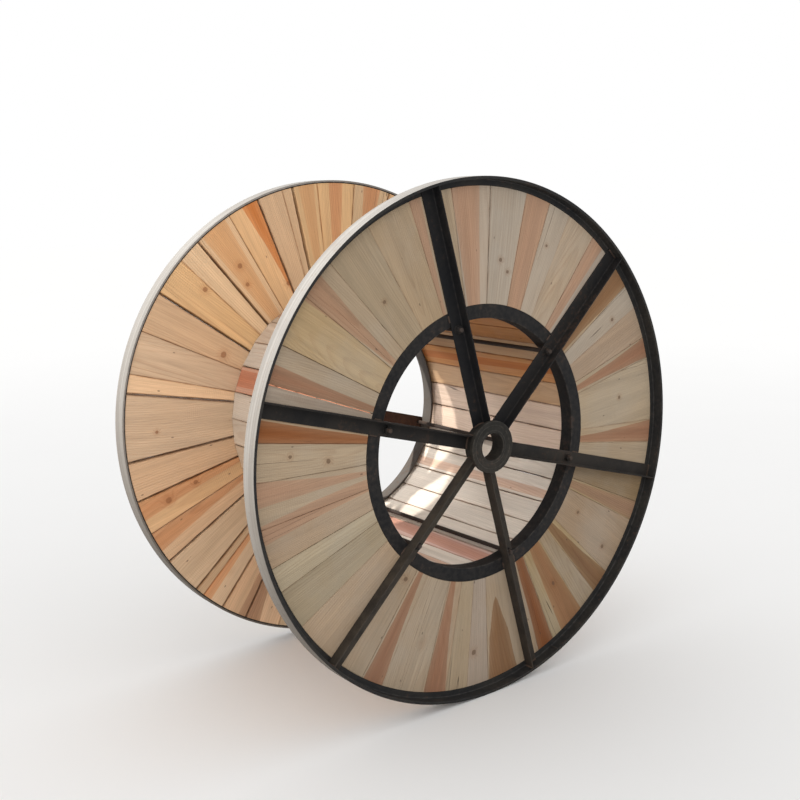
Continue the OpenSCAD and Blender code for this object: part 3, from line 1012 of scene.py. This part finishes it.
hoopSteel = hoopMaterial("dustyHoop")
frameSteel = paintMaterial("blackPaint", dust=0.18, rust=0.14)
farSteel = paintMaterial("redBrownPaint", dust=0.30, rust=0.45, tint=(0.075, 0.028, 0.020))
hubSteel = paintMaterial("oiledHub", dust=0.35, rust=0.15, tint=(0.013, 0.0125, 0.0110))
# the far ring's light grey is partly dust, partly painted sunlight; the near ring is black
ringSteel = paintMaterial("dustyRing", dust=0.20, rust=0.25, tint=(0.120, 0.108, 0.098))
rodSteel = paintMaterial("dullRod", dust=0.30, rust=0.40, tint=(0.042, 0.032, 0.028))
nutSteel = paintMaterial("darkNuts", dust=0.20, rust=0.20, tint=(0.010, 0.010, 0.011))
for name, side, steel, ringPaint in (("near", -1, frameSteel, frameSteel), ("far", 1, farSteel, ringSteel)):
    makeHoop(name, side, hoopSteel)
    makeRing(name, side, ringPaint)
    makeHub(name, side, hubSteel if side < 0 else steel)
    for k in range(1, 7):
        makeSpoke(name, side, k, steel)
    makeNuts(name, side, nutSteel)
makeRods(rodSteel)
print("steel made")

studio = {
    "floorColour": (0.92, 0.918, 0.912), "floorGlow": 0.09,
    "worldColour": (1.0, 1.0, 1.0), "worldStrength": 1.0,
    # place, size, power, colour
    "key": ((-5.0, 3.2, 7.8), 0.3, 1400, (1.0, 0.97, 0.91)),        # from behind, high on the left
    "side": ((-4.4, -0.3, 1.9), 1.4, 110, (1.0, 0.92, 0.82)),       # along the gap between the flanges
    "back": ((-0.8, 4.2, 1.9), 1.8, 420, (1.0, 0.98, 0.95)),        # into the barrel from behind
    "front": ((-2.6, -5.0, 4.5), 3.0, 90, (1.0, 0.97, 0.93)),
}


def makeFloor():
    mesh = bpy.data.meshes.new("studioFloor")
    mesh.from_pydata([(-40, -40, 0), (40, -40, 0), (40, 40, 0), (-40, 40, 0)], [], [(0, 1, 2, 3)])
    floor = bpy.data.objects.new("studioFloor", mesh)
    bpy.context.scene.collection.objects.link(floor)
    n = Nodes("paleFloor")
    darker = tuple(c * 0.985 for c in studio["floorColour"])
    tint = n.blend(n.cloud(n.place(), 1.4, 3), studio["floorColour"], darker)
    away = n.vector("LENGTH", n.place())
    n.surface.inputs["Emission Color"].default_value = (1, 1, 1, 1)
    # fades into the background
    n.feed(n.surface.inputs["Emission Strength"], n.step(away, 2.0, 11.0, 0.0, studio["floorGlow"]))
    floor.data.materials.append(n.finish(tint, 0.9, shine=0.0))


def makeLight(name, onlyOn):
    place, size, power, colour = studio[name]
    data = bpy.data.lights.new(f"{name}Light", "AREA")
    data.shape = "DISK"
    data.size, data.energy, data.color = size, power, colour
    light = bpy.data.objects.new(f"{name}Light", data)
    light.location = place
    aim = Vector((0, 0, axleHeight)) - Vector(place)
    light.rotation_euler = aim.to_track_quat("-Z", "Y").to_euler()
    bpy.context.scene.collection.objects.link(light)
    light.light_linking.receiver_collection = onlyOn


def gather(name, word):
    # a set of pieces for a light to fall on
    pieces = bpy.data.collections.new(name)
    for piece in bpy.context.scene.collection.all_objects:
        if piece.type == "MESH" and word in piece.name:
            pieces.objects.link(piece)
    return pieces


drum, staves = gather("drumPieces", ""), gather("stavePieces", "Staves")
makeFloor()
for name, pieces in (("key", drum), ("side", drum), ("back", staves), ("front", drum)):
    makeLight(name, pieces)

world = bpy.data.worlds.new("paleStudio")
world.use_nodes = True
background = world.node_tree.nodes["Background"]
background.inputs["Color"].default_value = (*studio["worldColour"], 1)
background.inputs["Strength"].default_value = studio["worldStrength"]
bpy.context.scene.world = world
bpy.context.scene.view_settings.view_transform = "Standard"

# The camera stands in front and to the left, a little above the drum, looking slightly down.
view = {
    "right": -2.664, "up": 0.90, "front": 3.064,    # place, in flange radii from the near face's middle
    "azimuth": 41.5, "down": 11.0, "lens": 49.5, "shift": (-0.1245, 0.022),
}
cameraData = bpy.data.cameras.new("camera")
cameraData.lens, cameraData.sensor_width = view["lens"], 36
cameraData.shift_x, cameraData.shift_y = view["shift"]
camera = bpy.data.objects.new("camera", cameraData)
fromMiddle = rimRadius * Vector((view["right"], -view["front"], view["up"]))
camera.location = Vector((0, -halfWidth, axleHeight)) + fromMiddle
camera.rotation_euler = (math.radians(90 - view["down"]), 0, math.radians(-view["azimuth"]))
bpy.context.scene.collection.objects.link(camera)
bpy.context.scene.camera = camera
print("light and camera set")
